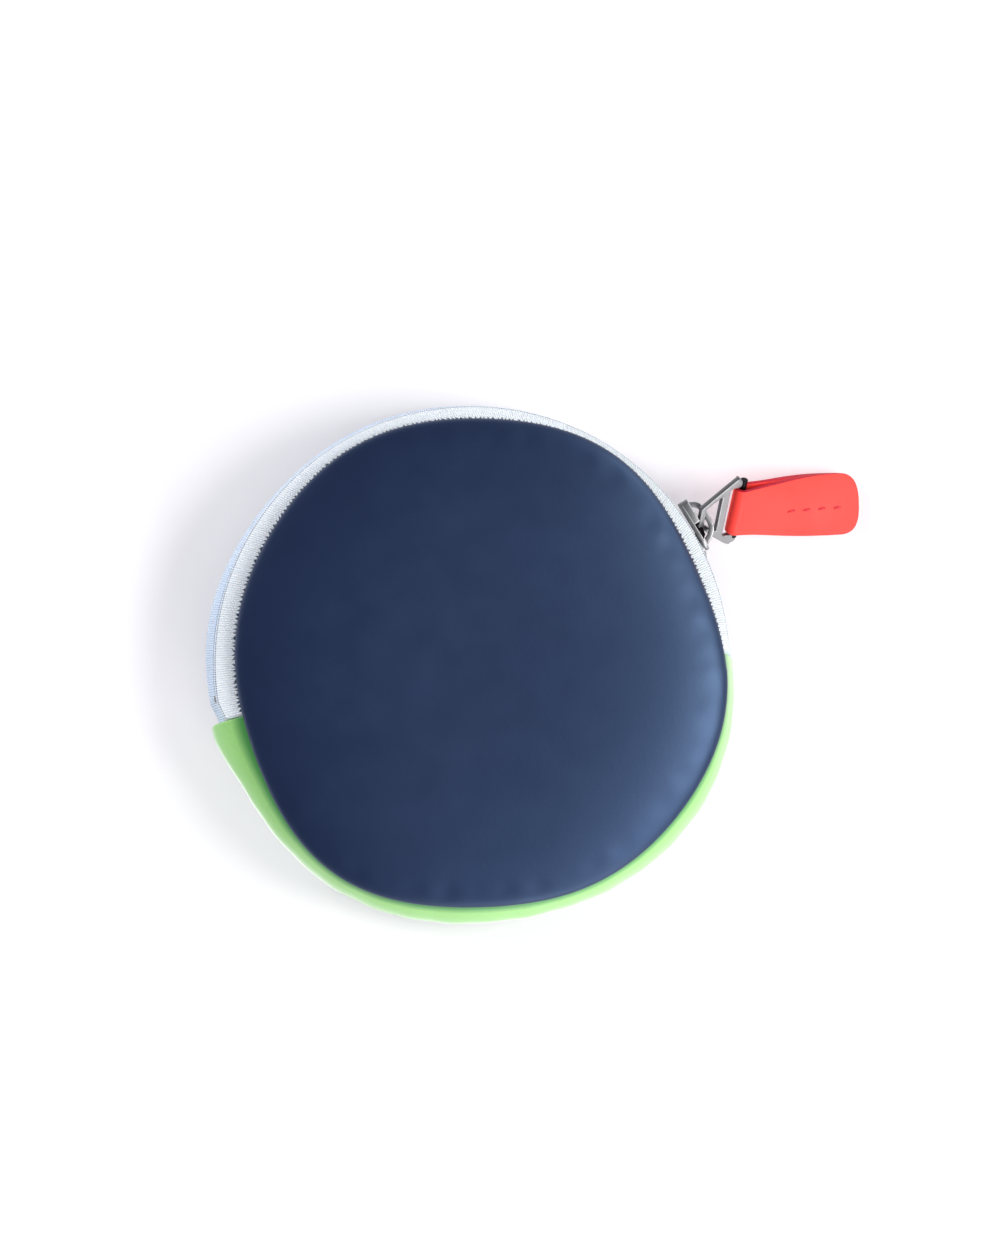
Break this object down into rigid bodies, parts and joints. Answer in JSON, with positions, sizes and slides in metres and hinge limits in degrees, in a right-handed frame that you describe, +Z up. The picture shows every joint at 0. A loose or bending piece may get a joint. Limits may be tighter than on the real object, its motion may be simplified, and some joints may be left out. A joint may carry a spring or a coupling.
{
  "type": "zip pouch",
  "caption": "Small round padded leather pouch with a zip round its top, a leather gusset round its bottom and a folded leather pull strap on the slider.",
  "frame": {"origin": "middle of the back, on the surface that the pouch lies on", "axes": "+Z up out of the front panel, +X to the side where the slider rests when the pouch is closed, +Y toward the middle of the zip"},
  "size_m": [0.1231, 0.0978, 0.0255],
  "materials": {
    "navy_leather": "smooth, satin",
    "green_leather": "smooth, satin",
    "red_leather": "smooth, satin",
    "foam": "open-cell foam sheet",
    "lining_cloth": "plain woven lining",
    "binding_tape": "woven binding",
    "zip_tape": "ribbed woven zip tape",
    "zip_coil": "nylon coil",
    "nickel": "polished nickel plate",
    "stop_metal": "satin",
    "red_thread": "stitching thread"
  },
  "bodies": {
    "pouch": {"back_panel": "navy_leather", "back_padding": "foam", "back_lining": "lining_cloth", "back_binding": "binding_tape", "front_panel_lower": "navy_leather", "front_padding_lower": "foam", "front_lining_lower": "lining_cloth", "front_binding_lower": "binding_tape", "gusset": "green_leather", "gusset_lining": "lining_cloth", "back_zip_tape": "zip_tape", "back_zip_coil": "zip_coil", "back_top_stop": "stop_metal", "bottom_stop": "stop_metal"},
    "front_flap": {"front_panel_upper": "navy_leather", "front_padding_upper": "foam", "front_lining_upper": "lining_cloth", "front_binding_upper": "binding_tape", "front_zip_tape": "zip_tape", "front_zip_coil": "zip_coil", "front_top_stop": "stop_metal"},
    "slider": {"zip_slider": "nickel"},
    "ring": {"pull_ring": "nickel"},
    "strap": {"pull_strap": "red_leather", "strap_stitches": "red_thread"}
  },
  "joints": [
    {"name": "slider_travel", "type": "hinge", "parent": "pouch", "child": "slider", "pos_m": [0, 0, 0.0133], "axis": [0, 0, 1], "range_deg": [0, 147.3], "deforming": ["front_zip_tape", "front_zip_coil"]},
    {"name": "mouth_open", "type": "hinge", "parent": "pouch", "child": "front_flap", "pos_m": [0.00053, -0.00402, 0.0255], "axis": [0.9914, 0.1305, 0], "range_deg": [0, 28]},
    {"name": "ring_swing", "type": "hinge", "parent": "slider", "child": "ring", "pos_m": [0.04459, 0.02738, 0.0133], "axis": [0.527, -0.8499, 0], "range_deg": [0, 45]},
    {"name": "strap_fold", "type": "hinge", "parent": "ring", "child": "strap", "pos_m": [0.0503, 0.02928, 0.0108], "axis": [-0.1528, -0.7922, -0.5908], "range_deg": [0, 80]}
  ],
  "couplings": [
    {"joint": "mouth_open", "follows": "slider_travel", "ratio": 0.19}
  ]
}
